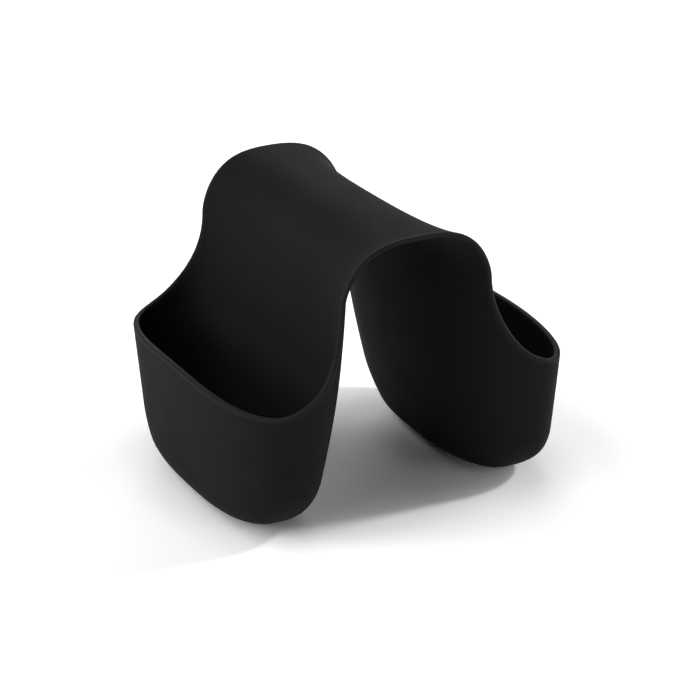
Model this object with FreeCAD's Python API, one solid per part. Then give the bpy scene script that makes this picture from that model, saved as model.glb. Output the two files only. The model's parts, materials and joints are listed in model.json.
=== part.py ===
import FreeCAD, Part
import math
import os

# Saddle caddy for a double sink: one soft moulding with a pocket on each side of
# an arched saddle that drops over the divider between the two bowls.
#
# Frame, millimetres: +X across the divider, from the left pocket to the right,
# +Y along the divider, +Z up. The origin is on the ground, midway between the feet.
#
# The moulding is the wall of a fat bent sleeve. Its cross-sections are ovals that
# climb each pocket level by level and then fan over the arch. One rim curve trims
# the sleeve open. Only the right half is built, and the left half is its mirror.

Vector = FreeCAD.Vector

# ---- Wall and overall sizes ----
wall = 2.0                     # thickness of the moulding everywhere
outer_width = 160.0            # across both pockets' ovals at the rim, before flattening
outer_width_at_feet = 153.5    # the same carried down to ground level, so the walls have draft
pocket_length = 144.6          # along the divider, at the pockets' rim
pocket_length_at_feet = 121.6  # the same size carried down to ground level
pocket_rim_height = 59.1       # rim of a pocket at the ends of its outer wall
neck_height = 99.9             # where the straight leg turns into the arch
crown_height = 121.1           # underside of the saddle on its centre line

# ---- Gap that straddles the divider ----
gap_at_feet = 72.9
gap_at_neck = 42.1
leg_bow = 2.5                  # how far each leg bows into the gap at mid height

# ---- Feet and the rounding up from them ----
foot_length = 60.0             # flat patch that a pocket stands on, along Y
foot_depth = 12.0              # the same patch along X
leg_corner_height = 8.1        # height of the rounding under the leg
outer_corner_height = 12.3     # height of the rounding under the outer wall
end_corner_height = 23.8       # height of the long rounding at each end of a pocket

# ---- Ovals ----
oval_fullness = 2.59           # exponent of each oval: 2 is an ellipse, more is squarer
outer_wall_flattening = 0.6    # how far the outer wall is pressed in at its middle
neck_oval_length = 151.5
crown_oval_length = 157.3
crown_oval_depth = 8.3

# ---- Rim ----
rim_flat = 11.6                # level stretch of rim behind the outer wall
rim_ease_low = 14.0            # how gently the rim leaves that level stretch
rim_ease_high = 29.6           # how gently it arrives at the neck
neck_rise = 11.9               # depth of the channel-shaped section at the neck
crown_rise = 1.6               # how far the saddle's edges curl up at the crown
rim_lift = 2.3                 # extra height of the rim at the middle of the outer wall

# ---- Arch ----
arch_ease_low = 6.7            # straightness of the arch where it leaves the leg
arch_ease_top = 20.9           # flatness of the arch at its crown

# ---- Flexing shoulders: each is modelled as a hinge along Y ----
shoulder_height = neck_height
knuckle_margin = 3.0           # how far the knuckle reaches past the section's depth
knuckle_gap = 0.3              # running gap between a knuckle and its socket

# ---- Drain holes in each pocket's floor ----
drain_diameter = 5.0
drain_pitch = 12.0
drain_count = 4

# ---- Sampling of the curved forms ----
points_per_oval = 28
points_per_channel = 15
corner_levels = 5
leg_levels = 5
least_level_gap = 0.55
rim_levels = 8
arch_levels = 8
sleeve_shares = (0, 0.12, 0.24, 0.36, 0.48, 0.6)   # arch stations that a pocket's sleeve runs through
square_rim = (0.3, 0.75)       # arch stations between which the rim turns square to the wall
overshoot = 1.0                # how far a cutting tool runs past what it cuts
far = 2.0 * outer_width        # reach of the cutting tools


def blend(low, high, share):
    return low + (high - low) * share


def round_up(height, corner_height, inset):
    """Share of the full size reached at a height: a quarter ellipse from 0 to 1.

    Inside the wall the ellipse starts one wall higher and is flatter by about a wall.
    """
    inner_height = corner_height**2 / (corner_height + inset)
    rise = min(1.0, max(0.0, (height - inset) / inner_height))
    return math.sqrt(1.0 - (1.0 - rise) ** 2)


def leg_x(z):
    """Outside face of the leg: a straight lean plus a parabola for the bow."""
    share = z / neck_height
    return blend(gap_at_feet, gap_at_neck, share) / 2 - 4 * leg_bow * share * (1 - share)


def outer_x(z):
    """Outside face of the outer wall, which leans out with its draft."""
    return blend(outer_width_at_feet, outer_width, z / pocket_rim_height) / 2


def half_length(z):
    """Half the oval's length before its end is rounded up from the foot."""
    if z <= pocket_rim_height:
        return blend(pocket_length_at_feet, pocket_length, z / pocket_rim_height) / 2
    share = (z - pocket_rim_height) / (neck_height - pocket_rim_height)
    return blend(pocket_length, neck_oval_length, share) / 2


def signed_power(value, power):
    return math.copysign(abs(value) ** power, value)


def oval_points(spine, normal, depth, length, flattening):
    """Points of one oval that starts on the spine and bulges along the normal.

    Across: half length times sine to the power 2/n. Along the normal: half depth
    times one minus cosine to the power 2/n. The far half is pressed in at its middle.
    """
    power = 2.0 / oval_fullness
    points = []
    for step in range(points_per_oval):
        angle = 2 * math.pi * step / points_per_oval
        across = signed_power(math.sin(angle), power)
        along = signed_power(math.cos(angle), power)
        reach = depth / 2 * (1 - along)
        if along < 0:
            reach -= flattening * (1 - across**2) ** 2
        points.append(spine + normal * reach + Vector(0, length / 2 * across, 0))
    return points


def pocket_section(z, inset):
    """Level oval of the pocket at height z, drawn one inset inside the outer skin."""
    middle = (outer_x(z) + leg_x(z)) / 2
    half = (outer_x(z) - leg_x(z)) / 2 - inset
    floor_share = foot_depth / (outer_x(0) - leg_x(0))
    leg_half = half * blend(floor_share, 1.0, round_up(z, leg_corner_height, inset))
    outer_half = half * blend(floor_share, 1.0, round_up(z, outer_corner_height, inset))
    end_share = round_up(z, end_corner_height, inset)
    half_y = blend(foot_length / 2, half_length(z) - inset, end_share)
    spine = Vector(middle - leg_half, 0, z)
    depth = leg_half + outer_half
    return oval_points(spine, Vector(1, 0, 0), depth, 2 * half_y, outer_wall_flattening * end_share)


def bezier(corners, share):
    """Point and direction of a cubic Bezier curve."""
    a, b, c, d = corners
    left = 1 - share
    point = a * left**3 + b * (3 * left**2 * share) + c * (3 * left * share**2) + d * share**3
    slope = (b - a) * left**2 + (c - b) * (2 * left * share) + (d - c) * share**2
    return point, slope.normalize()


def leg_direction():
    """Direction of the leg's outside face where it reaches the neck."""
    lean = (gap_at_neck - gap_at_feet) / 2 / neck_height + 4 * leg_bow / neck_height
    return Vector(lean, 0, 1).normalize()


def arch_spine():
    """Bezier corners of the saddle's underside, from the neck to the crown."""
    neck = Vector(leg_x(neck_height), 0, neck_height)
    crown = Vector(0, 0, crown_height)
    return (neck, neck + leg_direction() * arch_ease_low, crown + Vector(arch_ease_top, 0, 0), crown)


def arch_station(share):
    """Spine point, outward normal and rim depth at a share of the way to the crown."""
    point, direction = bezier(arch_spine(), share)
    lean = math.atan2(leg_direction().x, leg_direction().z)
    turn = math.atan2(-direction.x, direction.z) + lean * (1 - share) ** 2
    normal = Vector(math.cos(turn), 0, math.sin(turn))
    ease = share**2 * (3 - 2 * share)
    return point, normal, blend(neck_rise, crown_rise, ease), ease


def arch_oval(share):
    """Depth and length of the sleeve's oval over the arch."""
    ease = arch_station(share)[3]
    neck_oval_depth = outer_x(neck_height) - leg_x(neck_height)
    depth = blend(neck_oval_depth, crown_oval_depth, ease)
    return depth, blend(neck_oval_length, crown_oval_length, ease)


def arch_section(share, inset):
    """Whole oval of the arch, drawn one inset inside the outer skin."""
    point, normal, _, _ = arch_station(share)
    depth, length = arch_oval(share)
    spine = point + normal * inset
    return oval_points(spine, normal, depth - 2 * inset, length - 2 * inset, outer_wall_flattening)


def rim_arc(share, inset):
    """The oval's arc from rim to rim: its points, and its own normals into the wall."""
    point, normal, rise, _ = arch_station(share)
    depth, length = arch_oval(share)
    reach = max(0.0, rise - inset)
    spine = point + normal * inset
    depth -= 2 * inset
    length -= 2 * inset
    power = 2.0 / oval_fullness
    rim_angle = math.acos((1 - 2 * reach / depth) ** (1 / power))
    spots, normals = [], []
    for step in range(points_per_channel):
        angle = rim_angle * (2 * step / (points_per_channel - 1) - 1)
        across = signed_power(math.sin(angle), power)
        along = signed_power(math.cos(angle), power)
        inwards = normal * (along ** (oval_fullness - 1) / depth)
        inwards -= Vector(0, signed_power(across, oval_fullness - 1) / length, 0)
        spots.append(spine + normal * (depth / 2 * (1 - along)) + Vector(0, length / 2 * across, 0))
        normals.append(inwards.normalize())
    return spots, normals


def channel_section(share, side):
    """Closed outline of the saddle's wall: the oval's arc up to the rim, and back.

    Where the pocket's knuckle ends, both arcs stop at the rim's depth, as the pocket
    does. From there to the crown the rim turns until it is square to the wall.
    """
    outer, normals = rim_arc(share, 0.0)
    level, _ = rim_arc(share, wall)
    start, end = square_rim
    turned = min(1.0, max(0.0, (share - start) / (end - start)))
    squareness = turned**2 * (3 - 2 * turned)
    square = [spot + normal * wall for spot, normal in zip(outer, normals)]
    inner = [a + (b - a) * squareness for a, b in zip(level, square)]
    outer = [Vector(side * p.x, p.y, p.z) for p in outer]
    inner = [Vector(side * p.x, p.y, p.z) for p in reversed(inner)]
    return Part.Wire([
        open_curve(outer),
        Part.makeLine(outer[-1], inner[0]),
        open_curve(inner),
        Part.makeLine(inner[-1], outer[0]),
    ])


def open_curve(points):
    curve = Part.BSplineCurve()
    curve.interpolate(points)
    return curve.toShape()


def closed_curve(points):
    curve = Part.BSplineCurve()
    curve.interpolate(Points=points, PeriodicFlag=True)
    return Part.Wire([curve.toShape()])


def levels(inset):
    """Heights of the pocket's sections: crowded in the roundings, even up the leg."""
    heights = {inset, blend(inset, leg_corner_height, 0.5), pocket_rim_height, neck_height}
    for corner_height in (outer_corner_height, end_corner_height):
        for step in range(corner_levels + 1):
            angle = math.pi / 2 * step / corner_levels
            heights.add(blend(inset, corner_height, 1 - math.cos(angle)))
    for step in range(1, leg_levels):
        heights.add(blend(end_corner_height, neck_height, step / leg_levels))
    kept = []
    for height in sorted(heights):
        if not kept or height - kept[-1] > least_level_gap:
            kept.append(height)
    return kept


def sleeve(inset):
    """Solid bounded by the sleeve's skin: its outside, or one wall inside that."""
    sections = [pocket_section(height, inset) for height in levels(inset)]
    sections += [arch_section(share, inset) for share in sleeve_shares[1:]]
    if inset > 0:
        beyond = arch_station(sleeve_shares[-1])[1].cross(Vector(0, 1, 0)) * overshoot
        sections.append([point + beyond for point in sections[-1]])
    return Part.makeLoft([closed_curve(points) for points in sections], True)


def saddle():
    """The arch from neck to neck as one loft of wall outlines."""
    shares = [step / arch_levels for step in range(arch_levels + 1)]
    right = [channel_section(share, 1) for share in shares]
    left = [channel_section(share, -1) for share in reversed(shares[:-1])]
    return Part.makeLoft(right + left, True)


def rim_profile(y):
    """Outline, in the plane at y, of everything that lies beyond the rim."""
    edge = min(1.0, abs(2 * y / pocket_length))
    lift = Vector(0, 0, rim_lift * (1 - edge**2) ** 2)
    side = Vector(0, y, 0)
    level = Vector(outer_x(pocket_rim_height) - rim_flat, 0, pocket_rim_height)
    neck = Vector(leg_x(neck_height) + neck_rise, 0, neck_height)
    low_rim = Part.BezierCurve()
    low_rim.setPoles([
        level + lift + side,
        level + lift + side - Vector(rim_ease_low, 0, 0),
        neck + side - leg_direction() * rim_ease_high,
        neck + side,
    ])
    arch_rim = []
    for share in sleeve_shares:
        point, normal, rise, _ = arch_station(share)
        arch_rim.append(point + normal * rise + side)
    corners = [
        arch_rim[-1],
        Vector(arch_rim[-1].x, y, far),
        Vector(far, y, far),
        Vector(far, y, level.z + lift.z),
        level + lift + side,
    ]
    straight = [Part.makeLine(a, b) for a, b in zip(corners, corners[1:])]
    return Part.Wire([low_rim.toShape(), open_curve(arch_rim)] + straight)


def beyond_rim():
    """Tool that trims the sleeve open, lofted along Y because the rim is lifted."""
    stations = [pocket_length * (step / rim_levels - 0.5) for step in range(rim_levels + 1)]
    stations = [-pocket_length] + stations + [pocket_length]
    return Part.makeLoft([rim_profile(y) for y in stations], True)


def drain_holes():
    middle = (outer_x(0) + leg_x(0)) / 2
    first = -drain_pitch * (drain_count - 1) / 2
    holes = []
    for index in range(drain_count):
        base = Vector(middle, first + index * drain_pitch, -overshoot)
        holes.append(Part.makeCylinder(drain_diameter / 2, wall + 2 * overshoot, base))
    return holes


def pocket():
    """Right pocket with its leg: sleeve wall, trimmed at the rim and drained."""
    shell = sleeve(0.0).cut(sleeve(wall)).cut(beyond_rim())
    return shell.cut(drain_holes()).common(below_shoulder(1).fuse(knuckle(1, 0.0)))


def knuckle(side, extra_radius):
    """Cylinder along the hinge line, deep enough for the whole section to pass through."""
    hinge_x = side * (leg_x(shoulder_height) + neck_rise / 2)
    radius = neck_rise / 2 + knuckle_margin + extra_radius
    base = Vector(hinge_x, -pocket_length, shoulder_height)
    return Part.makeCylinder(radius, 2 * pocket_length, base, Vector(0, 1, 0))


def below_shoulder(side):
    box = Part.makeBox(far, 2 * pocket_length, shoulder_height + overshoot)
    box.translate(Vector(0 if side > 0 else -far, -pocket_length, -overshoot))
    return box


def saddle_bridge():
    """The saddle, hollowed at each shoulder to make a socket for the knuckle."""
    bridge = saddle()
    for side in (1, -1):
        bridge = bridge.cut(below_shoulder(side)).cut(knuckle(side, knuckle_gap))
    return bridge


right_pocket = pocket()
parts = {
    "right_pocket": right_pocket,
    "left_pocket": right_pocket.mirror(Vector(0, 0, 0), Vector(1, 0, 0)),
    "saddle_bridge": saddle_bridge(),
}

os.makedirs("parts", exist_ok=True)
for name, shape in parts.items():
    solids = Part.makeCompound(shape.Solids)
    solids.exportStep("parts/" + name + ".step")
    box = solids.optimalBoundingBox()
    low = [round(value, 2) for value in (box.XMin, box.YMin, box.ZMin)]
    high = [round(value, 2) for value in (box.XMax, box.YMax, box.ZMax)]
    print(name, len(shape.Solids), "solid, valid", shape.isValid(), "mm3", round(shape.Volume), low, high)
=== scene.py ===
# %% [markdown]
# # A saddle caddy for a double sink
#
# The real object is one soft moulding of thermoplastic rubber. Two deep pockets hang
# from an arched saddle, and the saddle drops over the divider between two sink bowls.
# This lesson draws that moulding as one smooth closed skin on each side of the crown
# and gives it a soft-touch rubber finish.
#
# The imported model is loaded first. It fixes where everything is: +X runs across the
# divider, +Y along it, +Z up, in metres, with the origin on the ground between the feet.

# %% Load the frame
import json
import math
import bmesh
import bpy
import numpy as np
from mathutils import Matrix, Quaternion, Vector


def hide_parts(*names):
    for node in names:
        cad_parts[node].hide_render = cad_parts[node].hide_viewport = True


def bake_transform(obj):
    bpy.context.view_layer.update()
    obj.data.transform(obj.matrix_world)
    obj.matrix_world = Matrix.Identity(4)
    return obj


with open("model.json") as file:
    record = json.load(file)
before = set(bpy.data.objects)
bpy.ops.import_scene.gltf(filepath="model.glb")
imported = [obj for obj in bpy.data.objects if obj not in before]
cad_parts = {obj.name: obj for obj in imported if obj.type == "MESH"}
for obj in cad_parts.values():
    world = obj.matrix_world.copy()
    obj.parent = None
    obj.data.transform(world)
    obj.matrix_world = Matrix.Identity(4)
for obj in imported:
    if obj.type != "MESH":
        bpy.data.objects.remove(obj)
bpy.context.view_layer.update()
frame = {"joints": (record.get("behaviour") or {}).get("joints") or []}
hinges = {joint["name"]: joint["pos_m"] for joint in frame["joints"]}

# %% [markdown]
# ## Sizes
#
# A moulded part is drawn from a handful of sizes, as its tool would be. They are the
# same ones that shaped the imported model, so the two lie on each other. The hinge of a
# shoulder runs through the middle of the saddle's section, so it also says where the
# neck is, and how wide the throat is there.

# %% Named sizes
mm = 0.001
wall = 2.0 * mm
hinge_x, _, neck_height = hinges["right_shoulder_flex"]
neck_rise = 11.9 * mm          # depth of the channel-shaped section at the neck
gap_at_neck = 2 * hinge_x - neck_rise
gap_at_feet = 72.9 * mm
leg_bow = 2.5 * mm             # how far a leg bows into the gap at mid height
crown_height = 121.1 * mm      # underside of the saddle on its centre line
crown_rise = 1.6 * mm          # how far the saddle's edges curl up at the crown

rim_height = 59.1 * mm         # rim of a pocket at the ends of its outer wall
rim_lift = 2.3 * mm            # extra height of the rim at the middle of that wall
outer_width = 160.0 * mm       # across both pockets at the rim, before the wall is pressed in
outer_width_at_feet = 153.5 * mm
pocket_length = 144.6 * mm     # along the divider, at the rim
pocket_length_at_feet = 121.6 * mm

foot_length, foot_depth = 60.0 * mm, 12.0 * mm
leg_corner, outer_corner, end_corner = 8.1 * mm, 12.3 * mm, 23.8 * mm

fullness = 2.59                # exponent of each oval: 2 is an ellipse, more is squarer
pressed_in = 0.6 * mm          # how far the outer wall is pressed in at its middle
neck_length, crown_length = 151.5 * mm, 157.3 * mm
crown_depth = 8.3 * mm
draft_ease = 12.0 * mm         # height over which the ends' draft steepens above the rim
print("throat", round(gap_at_neck / mm, 2), "mm wide under a neck at", neck_height / mm, "mm")


# %% [markdown]
# ## The path of the wall
#
# Seen from the end, the wall climbs each leg and then bends over the arch. The leg is
# a straight lean with a slight bow, which is a parabola. The arch is a cubic Bezier
# curve that leaves the leg along the leg's own direction and arrives level at the
# crown, so no crease shows where one becomes the other. A station says how far along
# that path a section lies: it is a height up to the neck, and a length beyond it.

# %% Path of the wall
def blend(low, high, share):
    """Straight from low to high as share goes from 0 to 1."""
    return low + (high - low) * share


def ease(share):
    """Slow start and slow end: three times share squared, minus twice share cubed."""
    share = np.clip(share, 0, 1)
    return share * share * (3 - 2 * share)


def leg_x(z):
    """Outside face of the leg: half the gap, less a parabola for the bow."""
    share = z / neck_height
    return blend(gap_at_feet, gap_at_neck, share) / 2 - 4 * leg_bow * share * (1 - share)


def outer_x(z):
    """Outside face of the outer wall, which leans out with its draft."""
    return blend(outer_width_at_feet, outer_width, z / rim_height) / 2


def bezier(corners, share):
    """Point and slope of a cubic Bezier curve: four corners, each with its own weight."""
    share = np.asarray(share)[..., None]
    a, b, c, d = np.asarray(corners)
    left = 1 - share
    point = a * left**3 + 3 * b * share * left**2 + 3 * c * share**2 * left + d * share**3
    slope = 3 * ((b - a) * left**2 + 2 * (c - b) * share * left + (d - c) * share**2)
    return point, slope


def run_of(points):
    """Length walked along a line of points, up to each of them."""
    return np.append(0, np.cumsum(np.linalg.norm(np.diff(points, axis=0), axis=1)))


curve_points = 2001            # on a curve that is read between its points
leg_slope = ((gap_at_neck - gap_at_feet) / 2 + 4 * leg_bow) / neck_height
leg_way = np.array([leg_slope, 1.0]) / math.hypot(leg_slope, 1.0)
neck_point = np.array([leg_x(neck_height), neck_height])
arch_ease_low, arch_ease_top = 6.7 * mm, 20.9 * mm
arch = (
    neck_point,
    neck_point + leg_way * arch_ease_low,
    (arch_ease_top, crown_height),
    (0.0, crown_height),
)
arch_shares = np.linspace(0, 1, curve_points)
arch_run = run_of(bezier(arch, arch_shares)[0])
crown_station = neck_height + arch_run[-1]
print("arch from neck to crown", round(arch_run[-1] / mm, 1), "mm")

# %% [markdown]
# ## The ovals
#
# Each section of the moulding is an oval that stands on that path and bulges away from
# it. Superellipses suit it, because one exponent makes them a little fuller than an
# ellipse. In the pockets they are level and round up from a small flat foot. Over the
# arch only the arc near the path is kept, and the oval tips over until it is upright.


# %% Ovals along the path
def round_up(z, corner, inset):
    """Share of the full size reached at a height: a quarter ellipse from 0 to 1."""
    rise = np.clip((z - inset) * (corner + inset) / corner**2, 0, 1)
    return np.sqrt(1 - (1 - rise) ** 2)


def half_length(z):
    """Half an oval's length: straight draft, easing to a steeper line above the rim.

    The height above the rim counts as half of itself plus the root of its square plus
    the square of draft_ease, which is near zero below the rim and near itself above.
    """
    draft = (pocket_length - pocket_length_at_feet) / rim_height / 2
    upper_draft = (neck_length - pocket_length) / (neck_height - rim_height) / 2
    above = z - rim_height
    above = (above + np.sqrt(above**2 + draft_ease**2)) / 2
    return pocket_length_at_feet / 2 + draft * z + (upper_draft - draft) * above


def pocket_oval(z, inset=0.0):
    """Level oval at height z, one inset inside the outer skin."""
    middle = (outer_x(z) + leg_x(z)) / 2
    half = (outer_x(z) - leg_x(z)) / 2 - inset
    floor_share = foot_depth / (outer_x(0) - leg_x(0))
    leg_half = half * blend(floor_share, 1, round_up(z, leg_corner, inset))
    outer_half = half * blend(floor_share, 1, round_up(z, outer_corner, inset))
    end = round_up(z, end_corner, inset)
    half_y = blend(foot_length / 2, half_length(z) - inset, end)
    return middle - leg_half, z, 0 * z, leg_half + outer_half, half_y, pressed_in * end


def arch_oval(share):
    """Oval at a share of the way from the neck to the crown.

    Depth and length ease from one end to the other. At the neck they keep growing at
    the pace of the pocket below, which dies away as share times (1 - share) squared.
    """
    point, slope = bezier(arch, share)
    turn = np.arctan2(-slope[..., 0], slope[..., 1]) + math.atan(leg_slope) * (1 - share) ** 2
    step = 0.1 * mm
    pace = share * (1 - share) ** 2 * 3 * arch_ease_low
    neck_depth = outer_x(neck_height) - leg_x(neck_height)
    depth_draft = (neck_depth - outer_x(neck_height - step) + leg_x(neck_height - step)) / step
    length_draft = (half_length(neck_height) - half_length(neck_height - step)) / step
    depth = blend(neck_depth, crown_depth, ease(share)) + depth_draft * pace
    half_y = blend(half_length(neck_height), crown_length / 2, ease(share)) + length_draft * pace
    return point[..., 0], point[..., 1], turn, depth, half_y, pressed_in + 0 * share


def oval_at(station):
    """The oval at a station: level up to the neck, and over the arch beyond it."""
    share = np.interp(station - neck_height, arch_run, arch_shares)
    level = pocket_oval(np.minimum(station, neck_height))
    tipped = arch_oval(share)
    return [np.where(station > neck_height, b, a) for a, b in zip(level, tipped)]


def signed_power(value, power):
    """Power of a value's size, with the value's own sign."""
    return np.sign(value) * np.abs(value) ** power


def on_oval(oval, angle):
    """Point at an angle on an oval: 0 on the path, a half turn on the outer wall.

    Across is sine, and along is cosine, each to the power 2 over fullness. The point
    lies half the depth times (1 - along) off the path, and the outer half is pressed
    in by (1 - across squared) squared.
    """
    x, z, turn, depth, half_y, pressed = oval
    across = signed_power(np.sin(angle), 2 / fullness)
    along = signed_power(np.cos(angle), 2 / fullness)
    reach = depth / 2 * (1 - along) - (along < 0) * pressed * (1 - across**2) ** 2
    return np.stack([x + np.cos(turn) * reach, half_y * across, z + np.sin(turn) * reach], -1)


def unit(vectors):
    """Vectors divided by their own lengths."""
    return vectors / np.linalg.norm(vectors, axis=-1, keepdims=True)


def skin(station, angle):
    """Points of the outer skin, and its outward directions there.

    The direction is square to two slopes: one along the path, from two stations close
    together, and one round the oval, from the superellipse's own formula.
    """
    station, angle = np.broadcast_arrays(station, angle)
    oval = oval_at(station)
    _, _, turn, depth, half_y, pressed = oval
    across = np.abs(np.sin(angle)) ** (2 / fullness)
    along = signed_power(np.cos(angle), 2 / fullness)
    side_slope = signed_power(along, fullness - 1)
    reach_slope = depth / 2 * across ** (fullness - 1)
    reach_slope += (along < 0) * 4 * pressed * across * (1 - across**2) * side_slope
    round_oval = [np.cos(turn) * reach_slope, half_y * side_slope, np.sin(turn) * reach_slope]
    step = 0.02 * mm
    up_path = on_oval(oval_at(station + step), angle) - on_oval(oval_at(station - step), angle)
    return on_oval(oval, angle), unit(np.cross(up_path, np.stack(round_oval, -1)))


print("outer wall at the rim", skin(np.array(rim_height), np.array(math.pi))[0] / mm, "mm")

# %% [markdown]
# ## The rim
#
# The rim is one flowing line. It follows the edge of the saddle down from the crown,
# sweeps through an S down the end of the pocket, and runs level round the outer wall,
# lifting slightly in the middle. The moulding's edge is flat with two well rounded
# corners, so the skin ends half a wall below the rim, and a squarish half oval carries it
# over to the inside.


# %% Rim line of one quarter
def angle_of(oval, point):
    """Angle on an oval of a point near it, from the superellipse worked backwards."""
    x, z, turn, depth, half_y, pressed = oval
    across = np.clip(point[..., 1] / half_y, 0, 1)
    reach = (point[..., 0] - x) * np.cos(turn) + (point[..., 2] - z) * np.sin(turn)
    reach = reach + (reach > depth / 2) * pressed * (1 - across**2) ** 2
    along = 1 - 2 * reach / depth
    return np.arctan2(across ** (fullness / 2), signed_power(along, fullness / 2))


rim_flat = 11.6 * mm           # level stretch of rim behind the outer wall
rim_ease_low, rim_ease_high = 14.0 * mm, 29.6 * mm
rim_samples = 1500
plane_steps, step_share = 12, 0.7    # steps to a lowered point's oval, and how bold each is
# over the arch, from the crown down to the neck
share = np.linspace(1, 0, rim_samples)
depth = arch_oval(share)[3]
rise = blend(neck_rise, crown_rise, ease(share))
arch_rim = [
    neck_height + np.interp(share, arch_shares, arch_run),
    np.arccos((1 - 2 * rise / depth) ** (fullness / 2)),
]
# through the S to the level stretch
sweep_start = neck_point + (neck_rise, 0)
sweep_end = np.array([outer_x(rim_height) - rim_flat, rim_height])
sweep_corners = (
    sweep_start,
    sweep_start - leg_way * rim_ease_high,
    sweep_end - (rim_ease_low, 0),
    sweep_end,
)
sweep = bezier(sweep_corners, np.linspace(0, 1, rim_samples)[1:])[0]
x, _, _, depth, _, _ = pocket_oval(sweep[:, 1])
sweep_angle = np.arccos(signed_power(1 - 2 * (sweep[:, 0] - x) / depth, fullness / 2))
# level round the outer wall to its middle
level_angle = np.linspace(sweep_angle[-1], math.pi, rim_samples)[1:]
level_across = np.sin(level_angle) ** (2 / fullness)
still_level = np.sin(sweep_angle[-1]) ** (2 / fullness)
level_station = rim_height + rim_lift * (1 - (level_across / still_level) ** 2) ** 2

rim_station = np.concatenate([arch_rim[0], sweep[:, 1], level_station])
rim_angle = np.concatenate([arch_rim[1], sweep_angle, level_angle])
rim, outwards = skin(rim_station, rim_angle)
upwards = unit(np.cross(outwards, np.gradient(rim, axis=0)))
upwards *= np.sign(upwards[-1, 2])
lowered = rim - upwards * wall / 2
# a lowered point's station is that of the oval whose plane it lies in, found step by step
lowered_station = rim_station.copy()
for _ in range(plane_steps):
    x, z, turn, *_ = oval_at(lowered_station)
    ahead = (lowered[:, 2] - z) * np.cos(turn) - (lowered[:, 0] - x) * np.sin(turn)
    lowered_station += step_share * ahead
lowered_station = np.minimum(lowered_station, crown_station)
lowered_station[0] = crown_station
lowered_angle = angle_of(oval_at(lowered_station), lowered)
lowered_angle[-1] = math.pi
print("rim from crown to outer wall", round(run_of(rim)[-1] / mm, 1), "mm")
print("rim box", rim.min(0) / mm, rim.max(0) / mm)

# %% [markdown]
# ## A grid that follows the rim
#
# A mesh shades best where its lines follow the shape. So the columns start square to
# the rim and run inwards: those from the saddle end on the middle line of the leg, and
# those from the pocket end on a level ring above the rounded bottom. Only one quarter
# of the object is worked out this way. The other three are mirror images.


# %% Columns and rows of the upper skin
def paced(share, first):
    """Places along a line that start at a pace of first times the mean, and change evenly."""
    return first * share + (1 - first) * share**2


rim_columns = 150              # columns along the rim, from the crown to the outer wall
corner_column = 56             # the one that ends where the middle line meets the ring
turning_columns = 14           # columns over which the two families pass into each other
upper_rows = 36
seam_step = 0.05 * mm          # a first narrow column keeps the shading true at the seam
middle_pace, ring_pace = 0.6, 1.45   # of the columns' inner ends, where each family starts

rim_run = run_of(skin(lowered_station, lowered_angle)[0])
stops = np.append(0, np.linspace(seam_step, rim_run[-1], rim_columns))
top_station = np.interp(stops, rim_run, lowered_station)
top_angle = np.interp(stops, rim_run, lowered_angle)

ring_angles = np.linspace(0, math.pi, curve_points)
ring_run = run_of(skin(np.array(end_corner), ring_angles)[0])
to_corner = np.linspace(0, 1, corner_column)
past_corner = np.linspace(0, 1, rim_columns - corner_column + 1)
middle_line = crown_station - seam_step
middle_line -= (middle_line - end_corner) * paced(to_corner, middle_pace)
ring_stops = ring_run[-1] * paced(past_corner, ring_pace)
base_station = np.concatenate([[crown_station], middle_line, 0 * past_corner[1:] + end_corner])
base_angle = np.append(np.zeros(corner_column), np.interp(ring_stops, ring_run, ring_angles))

column = np.arange(rim_columns + 1)[:, None]
row = np.linspace(0, 1, upper_rows + 1)[None, :]
to_middle = 2 - ease((column - corner_column + turning_columns) / turning_columns)
to_ring = 1 + ease((column - corner_column) / turning_columns)
upper_station = blend(base_station[:, None], top_station[:, None], row**to_middle)
upper_angle = blend(base_angle[:, None], top_angle[:, None], row**to_ring)
upper_outside, upper_outwards = skin(upper_station, upper_angle)
print("upper skin", upper_outside.shape[0], "columns by", upper_outside.shape[1], "points")

# %% [markdown]
# ## Inside, rim, bottom and seam
#
# The inside is the outside moved in by one wall, square to the skin. Near the foot the
# roundings are tighter than the wall is thick, so there the inside is drawn with its own
# ovals, as the core of the mould would be, and the two pass into each other higher up.
#
# Round the mouth of a pocket the wall thickens inwards to a lip, which keeps the soft
# edge from going wavy. It fades out up the sweep, so the saddle's edge is one plain wall.

# %% The other sheets of the quarter
rim_segments = 14
rim_squareness = 3.0           # exponent of the edge's half oval: 2 would be fully round
lower_rows = 44
climb_pace = 1.3               # above 1, the bottom's rows crowd towards the foot
core_height = 30 * mm          # over which the core's ovals give way to the even wall
lip = 0.6 * mm                 # extra thickness at a pocket's rim
lip_height = 9.0 * mm          # how far down from the rim it fades out
rim_highlight_reach = 0.5 * mm           # how far below the rim the painted highlight and the glossier edge still reach


def mirror_flat(vectors):
    """Directions made flat at the seam's plane and at the middle plane of the pocket."""
    vectors = vectors.copy()
    vectors[0, ..., 0] = 0
    vectors[-1, ..., 1] = 0
    return unit(vectors)


upper_outwards = mirror_flat(upper_outwards)
row_steps = np.linalg.norm(np.diff(upper_outside, axis=1), axis=-1)
below_rim = np.append(np.cumsum(row_steps[:, ::-1], axis=1)[:, ::-1], 0 * column, axis=1)
below_neck = neck_height - upper_outside[:, -1, 2]
lip_here = lip * ease(below_neck / (neck_height - rim_height))[:, None]
thickness = wall + lip_here * ease(1 - below_rim / lip_height)
# 1 on the rim, fading to 0 below it: where the rim is painted paler as a painted highlight, and
#                                     made glossier
rim_highlight_and_gloss = ease(1 - below_rim / rim_highlight_reach)
core = on_oval(pocket_oval(np.minimum(upper_station, neck_height), wall), upper_angle)
even = upper_outside - upper_outwards * thickness[..., None]
upper_inside = blend(core, even, ease((upper_station - end_corner) / core_height)[..., None])

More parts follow.
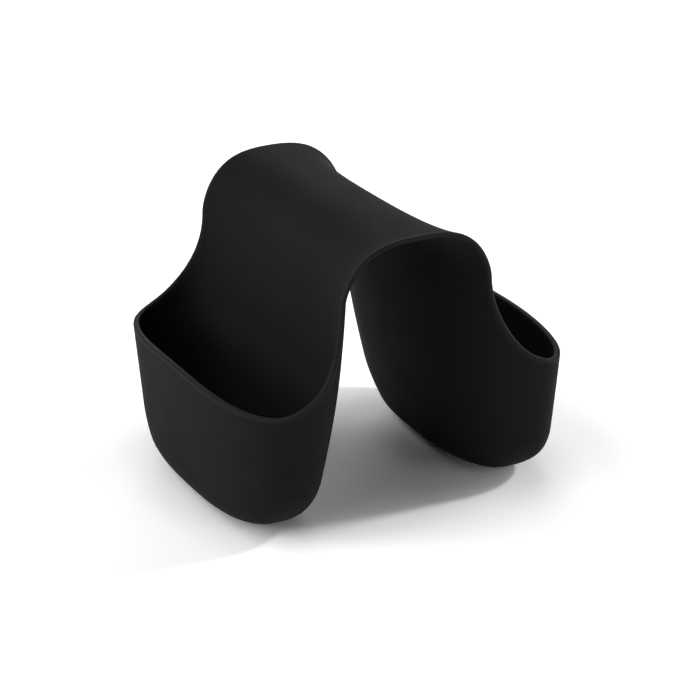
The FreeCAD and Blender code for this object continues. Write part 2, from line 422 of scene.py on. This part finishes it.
edge_out = upper_outwards[:, -1]
edge_up = np.cross(edge_out, np.gradient(upper_outside[:, -1], axis=0))
edge_up = mirror_flat(edge_up * np.sign(edge_up[-1, 2]))
half_turn = np.linspace(0, math.pi, rim_segments + 1)[None, :, None]
over = signed_power(np.cos(half_turn), 2 / rim_squareness) - 1
above = signed_power(np.sin(half_turn), 2 / rim_squareness)
above[:, -1] = 0
round_edge = edge_out[:, None] * over * thickness[:, -1, None, None] / 2
round_edge += edge_up[:, None] * above * wall / 2
rim_strip = upper_outside[:, -1][:, None] + round_edge

climb = 1 - np.cos(math.pi / 2 * np.linspace(0, 1, lower_rows + 1) ** climb_pace)[:, None]
ring = base_angle[corner_column:][None, :]
lower_outside = on_oval(pocket_oval(end_corner * climb + 0 * ring), ring)
lower_inside = on_oval(pocket_oval(blend(wall, end_corner, climb) + 0 * ring, wall), ring)

half_rim = rim_segments // 2 + 1
to_middle_plane = np.array([1, 0, 1])
# each sheet's points, and how much of the painted rim highlight and glossier edge it has there.
# The last four are flat: the foot and the floor, out to the pocket's middle plane, and the seam's
# wall and half of its rim
sheets = [
    (upper_outside, rim_highlight_and_gloss),
    (upper_inside, rim_highlight_and_gloss),
    (rim_strip, 1.0),
    (lower_outside, 0.0),
    (lower_inside, 0.0),
    (np.stack([lower_outside[0], lower_outside[0] * to_middle_plane]), 0.0),
    (np.stack([lower_inside[0], lower_inside[0] * to_middle_plane]), 0.0),
    (np.stack([upper_outside[0], upper_inside[0]]), rim_highlight_and_gloss[:1]),
    (np.stack([rim_strip[0, :half_rim], rim_strip[0, ::-1][:half_rim]]), 1.0),
]
print("sheets", [sheet.shape[:2] for sheet, _ in sheets])
print("wall at the rim", [round(thickness[n, -1] / mm, 2) for n in (0, corner_column, -1)], "mm")

# %% [markdown]
# ## One closed half of the moulding
#
# The sheets of the quarter are joined with their mirror image, and the points that they
# share are merged. What comes out has to be closed: every edge lies between two faces.


# %% Weld the half
weld_distance = 0.001 * mm
sides = {"right": 1, "left": -1}


def add_object(name, data):
    """Object made of the data and linked into the scene."""
    added = bpy.data.objects.new(name, data)
    bpy.context.scene.collection.objects.link(added)
    return added


def quads_of(sheet, first):
    """Quads between neighbouring points of a grid whose first point has that number."""
    rows, columns = sheet.shape[:2]
    number = first + np.arange(rows * columns).reshape(rows, columns)
    corners = number[:-1, :-1], number[1:, :-1], number[1:, 1:], number[:-1, 1:]
    return np.stack(corners, -1).reshape(-1, 4)


def half_caddy(name, side):
    """Closed mesh of everything on one side of the crown: side is 1 or -1."""
    points = np.concatenate([sheet.reshape(-1, 3) for sheet, _ in sheets])
    rim_highlight = np.concatenate([(np.zeros(sheet.shape[:2]) + here).ravel() for sheet, here in sheets])
    firsts = np.cumsum([0] + [sheet.shape[0] * sheet.shape[1] for sheet, _ in sheets[:-1]])
    quads = np.concatenate([quads_of(sheet, first) for (sheet, _), first in zip(sheets, firsts)])
    points = np.concatenate([points, points * (1, -1, 1)]) * (side, 1, 1)
    quads = np.concatenate([quads, quads + len(points) // 2])
    mesh = bpy.data.meshes.new(name)
    mesh.from_pydata(points.tolist(), [], quads.tolist())
    # the painted rim highlight and the glossier edge, kept as an attribute of the points
    rim_highlight_layer = mesh.attributes.new("rim_highlight_and_gloss", "FLOAT", "POINT")
    rim_highlight_layer.data.foreach_set("value", np.tile(rim_highlight, 2))
    shell = bmesh.new()
    shell.from_mesh(mesh)
    bmesh.ops.remove_doubles(shell, verts=shell.verts, dist=weld_distance)
    bmesh.ops.recalc_face_normals(shell, faces=shell.faces)
    if shell.calc_volume(signed=True) < 0:
        bmesh.ops.reverse_faces(shell, faces=shell.faces)
    shell.to_mesh(mesh)
    open_edges = sum(not edge.is_manifold for edge in shell.edges)
    volume = shell.calc_volume(signed=True) / mm**3
    print(name, len(shell.faces), "faces,", open_edges, "open edges,", round(volume), "mm3")
    shell.free()
    return add_object(name, mesh)


halves = {name: half_caddy(name + "_half", side) for name, side in sides.items()}

# %% [markdown]
# ## Drain holes
#
# Water has to leave a sink caddy, so each pocket's floor has a row of round holes. A
# Boolean cuts them: its cutter is one turned profile, a cylinder that flares where it
# passes each face, so that the cut has the small bevel a moulded hole has.

# %% Drain holes
drain_diameter, drain_pitch, drain_count = 5.0 * mm, 12.0 * mm, 4
drain_bevel = 0.35 * mm
drain_segments = 32
flare_reach = 1 * mm           # how far the cutter passes each face of the floor


def turned(profile, centre, segments):
    """Mesh data of a profile of (radius, height) turned round an upright axis."""
    turn = np.linspace(0, 2 * math.pi, segments, endpoint=False)[None, :]
    radius, height = np.array(profile).T[:, :, None]
    points = np.stack([radius * np.cos(turn), radius * np.sin(turn), height + 0 * turn], -1)
    points = points.reshape(-1, 3) + centre
    number = np.arange(len(points)).reshape(len(profile), segments)
    following = np.roll(number, -1, axis=1)
    corners = number[:-1], following[:-1], following[1:], number[1:]
    sides = np.stack(corners, -1).reshape(-1, 4).tolist()
    return points.tolist(), sides + [number[0, ::-1].tolist(), number[-1].tolist()]


def cut_drains(piece, side):
    """Cuts the row of drain holes in the piece's floor."""
    radius = drain_diameter / 2
    flared = radius + drain_bevel + flare_reach
    profile = [
        (flared, -flare_reach),
        (radius, drain_bevel),
        (radius, wall - drain_bevel),
        (flared, wall + flare_reach),
    ]
    middle = side * (outer_x(0) + leg_x(0)) / 2
    points, faces = [], []
    for y in (np.arange(drain_count) - (drain_count - 1) / 2) * drain_pitch:
        more_points, more_faces = turned(profile, (middle, y, 0), drain_segments)
        faces += [[corner + len(points) for corner in face] for face in more_faces]
        points += more_points
    mesh = bpy.data.meshes.new("drain_cutter")
    mesh.from_pydata(points, [], faces)
    cutter = add_object("drain_cutter", mesh)
    cut = piece.modifiers.new("drains", "BOOLEAN")
    cut.operation, cut.solver, cut.object = "DIFFERENCE", "EXACT", cutter
    result = piece.evaluated_get(bpy.context.evaluated_depsgraph_get())
    finished = bpy.data.meshes.new_from_object(result)
    piece.modifiers.clear()
    piece.data = finished
    bpy.data.objects.remove(cutter)


for name, piece in halves.items():
    cut_drains(piece, sides[name])
    print(piece.name, len(piece.data.polygons), "faces after the drains")

# %% [markdown]
# ## Shading
#
# Everything is smooth but the seam at the crown and the edges of the drain holes. Those
# are marked sharp wherever two faces meet at a steep angle.

# %% Smooth faces, sharp corners
sharp_angle = math.radians(40)
for piece in halves.values():
    shell = bmesh.new()
    shell.from_mesh(piece.data)
    for face in shell.faces:
        face.smooth = True
    for edge in shell.edges:
        edge.smooth = edge.calc_face_angle(0) < sharp_angle
    print(piece.name, sum(not edge.smooth for edge in shell.edges), "sharp edges")
    shell.to_mesh(piece.data)
    shell.free()

# %% [markdown]
# ## The rubber
#
# The caddy is moulded in black thermoplastic rubber. Its tool is spark eroded, which
# leaves a fine even grain, so the surface looks velvety: it has almost no mirror image,
# only a broad pale sheen where light grazes it. Three things break up the plain black.
# The grain itself is a bump from a fine noise. The melt's flow and the touch of hands
# leave cloudy patches a few centimetres wide, a little glossier or duller than the rest.
# Along the rim the colour is painted a paler grey, as a painted highlight, and the edge is
# glossier: the mesh says where, in an attribute that runs from 1 on the rim to 0 on the skin.


# %% Soft-touch rubber
def linear(colour):
    """Linear RGBA of an sRGB hex colour: the sRGB curve undone for each channel."""
    channels = [int(colour[start:start + 2], 16) / 255 for start in (1, 3, 5)]
    return [c / 12.92 if c <= 0.04045 else ((c + 0.055) / 1.055) ** 2.4 for c in channels] + [1.0]


def add_node(tree, kind, settings=(), links=(), **values):
    """A node of a kind, with settings, socket values by name, and links (socket, source)."""
    node = tree.nodes.new(kind)
    for name, value in dict(settings).items():
        setattr(node, name, value)
    for name, value in values.items():
        node.inputs[name.replace("_", " ")].default_value = value
    for socket, source in links:
        tree.links.new(source, node.inputs[socket])
    return node


grain_size = 0.5 * mm          # coarser than a real one, which would be too fine to show
grain_depth, grain_strength = 0.02 * mm, 0.6
cloud_size = 28 * mm
cloud_low, cloud_high = 0.3, 0.7     # the noise's values that count as its two ends
rubber_index = 1.2             # refractive index, low so that the mirror image stays faint
dark_rubber, pale_rubber = "#141415", "#181818"
glossier, duller = 0.8, 0.9    # roughness of the clouds' two ends
# painted highlight: the rim's paler colour; and the rim's lower roughness, which makes the edge
# glossier
rim_highlight_colour, rim_roughness = "#1c1c1d", 0.7


def soft_touch_rubber():
    """Black thermoplastic rubber from a spark-eroded tool, painted paler along its rim as a
    painted highlight, and glossier there.
    """
    material = bpy.data.materials.new("soft_touch_rubber")
    material.use_nodes = True
    tree = material.node_tree
    surface = tree.nodes["Principled BSDF"]
    surface.inputs["IOR"].default_value = rubber_index
    place = add_node(tree, "ShaderNodeTexCoord").outputs["Object"]
    grain = add_node(
        tree, "ShaderNodeTexNoise", (), [("Vector", place)],
        Scale=1 / grain_size, Detail=2.0, Roughness=0.6,
    )
    clouds = add_node(
        tree, "ShaderNodeTexNoise", (), [("Vector", place)],
        Scale=1 / cloud_size, Detail=3.0, Roughness=0.55,
    )
    # where the rim is painted paler, as a painted highlight, and made glossier
    rim_highlight = add_node(tree, "ShaderNodeAttribute", {"attribute_name": "rim_highlight_and_gloss"})
    cloudy = add_node(
        tree, "ShaderNodeMix", {"data_type": "RGBA"}, [("Factor", clouds.outputs["Fac"])],
        A=linear(dark_rubber), B=linear(pale_rubber),
    )
    # the rim's painted highlight: a paler colour mixed in along the rim
    colour = add_node(
        tree, "ShaderNodeMix", {"data_type": "RGBA"},
        [("Factor", rim_highlight.outputs["Fac"]), ("A", cloudy.outputs["Result"])],
        B=linear(rim_highlight_colour),
    )
    cloudy_roughness = add_node(
        tree, "ShaderNodeMapRange", (), [("Value", clouds.outputs["Fac"])],
        From_Min=cloud_low, From_Max=cloud_high, To_Min=glossier, To_Max=duller,
    )
    roughness = add_node(
        tree, "ShaderNodeMix", {"data_type": "FLOAT"},
        [("Factor", rim_highlight.outputs["Fac"]), ("A", cloudy_roughness.outputs["Result"])],
        B=rim_roughness,
    )
    bump = add_node(
        tree, "ShaderNodeBump", (), [("Height", grain.outputs["Fac"])],
        Strength=grain_strength, Distance=grain_depth,
    )
    tree.links.new(colour.outputs["Result"], surface.inputs["Base Color"])
    tree.links.new(roughness.outputs["Result"], surface.inputs["Roughness"])
    tree.links.new(bump.outputs["Normal"], surface.inputs["Normal"])
    return material


rubber = soft_touch_rubber()
for piece in halves.values():
    piece.data.materials.append(rubber)
print("material", rubber.name)

# %% [markdown]
# ## The halves in place of the imported parts
#
# A rubber moulding has no pin in its shoulders: it bends, but the halves are not bent here.
# Each has its placement baked into its points, and the imported pocket on its side and the
# saddle's bridge are hidden.

# %% Halves in place of the imported parts
for name, piece in halves.items():
    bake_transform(piece)
    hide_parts(name + "_pocket", "saddle_bridge")

# %% [markdown]
# ## Table
#
# The caddy stands on a sheet of white paper, wide enough to fill the view. In a studio
# the paper is exposed a little over white, so that the page it is printed on has no grey
# edge. The same is done here in the paper's colour, for the rays that show it: those of
# the camera, and those that mirror or pass through something. The light that bounces off
# it stays that of plain paper, and it keeps the caddy's shadow.

# %% Table
paper_reach = 2.0              # metres from the middle to each edge
paper_seen, paper_lit = 1.25, 0.9    # how bright the paper looks, and how much it reflects


def white_paper():
    """Matt paper: a Diffuse shader whose colour depends on what kind of ray asks."""
    material = bpy.data.materials.new("white_paper")
    material.use_nodes = True
    tree = material.node_tree
    tree.nodes.clear()
    ray = add_node(tree, "ShaderNodeLightPath")
    seen = ray.outputs["Is Camera Ray"]
    for other in ("Is Glossy Ray", "Is Transmission Ray"):
        either = add_node(tree, "ShaderNodeMath", {"operation": "MAXIMUM"})
        tree.links.new(seen, either.inputs[0])
        tree.links.new(ray.outputs[other], either.inputs[1])
        seen = either.outputs[0]
    colour = add_node(
        tree, "ShaderNodeMix", {"data_type": "RGBA"}, [("Factor", seen)],
        A=[paper_lit] * 3 + [1], B=[paper_seen] * 3 + [1],
    )
    matt = add_node(tree, "ShaderNodeBsdfDiffuse", (), [("Color", colour.outputs["Result"])])
    add_node(tree, "ShaderNodeOutputMaterial", (), [("Surface", matt.outputs[0])])
    return material


paper_mesh = bpy.data.meshes.new("table")
corners = [(x * paper_reach, y * paper_reach, 0) for x, y in ((-1, -1), (1, -1), (1, 1), (-1, 1))]
paper_mesh.from_pydata(corners, [], [(0, 1, 2, 3)])
paper_mesh.materials.append(white_paper())
table = add_object("table", paper_mesh)
print("paper", 2 * paper_reach, "m square")

# %% [markdown]
# ## Camera
#
# A long lens from the front left and a little above shows the throat, one whole pocket
# and the mouth of the other. The camera is placed on a ray from a point between the legs,
# so that azimuth and elevation can be read off. It rolls by just under a degree.

# %% Camera
camera_azimuth, camera_elevation, camera_roll = -27.15, 21.95, -0.94    # in degrees
camera_distance = 1.002
lens, sensor_width = 121.1, 36       # in millimetres, as Blender gives them
shift_x, shift_y = 0.0104, -0.0262   # of the lens, in widths of the picture
aim = Vector((0, 0, 60 * mm))


def direction(azimuth, elevation):
    """Unit vector towards an azimuth from the front, -Y, and an elevation, in degrees."""
    azimuth, elevation = math.radians(azimuth), math.radians(elevation)
    level = math.cos(elevation)
    return Vector((math.sin(azimuth) * level, -math.cos(azimuth) * level, math.sin(elevation)))


camera_data = bpy.data.cameras.new("camera")
camera_data.lens, camera_data.sensor_width = lens, sensor_width
camera_data.shift_x, camera_data.shift_y = shift_x, shift_y
camera = add_object("camera", camera_data)
back = direction(camera_azimuth, camera_elevation)
camera.location = aim + back * camera_distance
roll = Quaternion((0, 0, 1), math.radians(camera_roll))
camera.rotation_euler = ((-back).to_track_quat("-Z", "Y") @ roll).to_euler()
bpy.context.scene.camera = camera
print("camera at", [round(v, 3) for v in camera.location], "m")

# %% [markdown]
# ## Light
#
# Black rubber shows its form only by the pale sheen that broad lights leave on it, so
# large softboxes stand all round the table. Low ones graze the pockets from the left,
# from behind and from the right, higher ones on the left light the hollows, and one hangs
# overhead. The room itself is dim, which keeps the inside of the arch black. The key is
# a small lamp on the right: it throws the only shadows with an edge. Each lamp's power is
# worked out from its share of the light that falls on the paper. At a sum of one a level
# face would show its own colour. Here the sum is 1.15, so it shows a little lighter.

# %% Light
lamp_distance = 2.2
softbox_size, key_size = 1.1, 0.22   # diameters
room_share = 0.07
# azimuth from the front towards the right, elevation, size, share of the light
lamps = {
    "overhead": (0, 90, softbox_size, 0.19),
    "left": (270, 50, softbox_size, 0.12),
    "front_left": (292, 20, softbox_size, 0.06),
    "back_left": (247, 20, softbox_size, 0.13),
    "high_back_left": (225, 50, softbox_size, 0.14),
    "back_right": (157, 20, softbox_size, 0.09),
    "front_right": (22, 20, softbox_size, 0.05),
    "right": (90, 20, softbox_size, 0.08),
    "key": (76, 38, key_size, 0.22),
}


def softbox(name, azimuth, elevation, size, share):
    """Round lamp that faces the origin.

    A lamp lights the ground with its power times the sine of its elevation, over pi times
    the distance squared. White paper shows as white when that comes to pi.
    """
    data = bpy.data.lights.new(name, "AREA")
    data.shape, data.size = "DISK", size
    towards = direction(azimuth, elevation)
    data.energy = share * math.pi**2 * lamp_distance**2 / towards.z
    lamp = add_object(name, data)
    lamp.location = towards * lamp_distance
    lamp.rotation_euler = (-towards).to_track_quat("-Z", "Y").to_euler()
    print(name, round(data.energy, 1), "W")


for name, settings in lamps.items():
    softbox(name, *settings)
room = bpy.data.worlds.new("studio")
room.use_nodes = True
background = room.node_tree.nodes["Background"]
background.inputs["Color"].default_value = (1, 1, 1, 1)
background.inputs["Strength"].default_value = room_share
bpy.context.scene.world = room
bpy.context.scene.view_settings.view_transform = "Standard"
print("light on the paper", round(room_share + sum(lamp[3] for lamp in lamps.values()), 2))
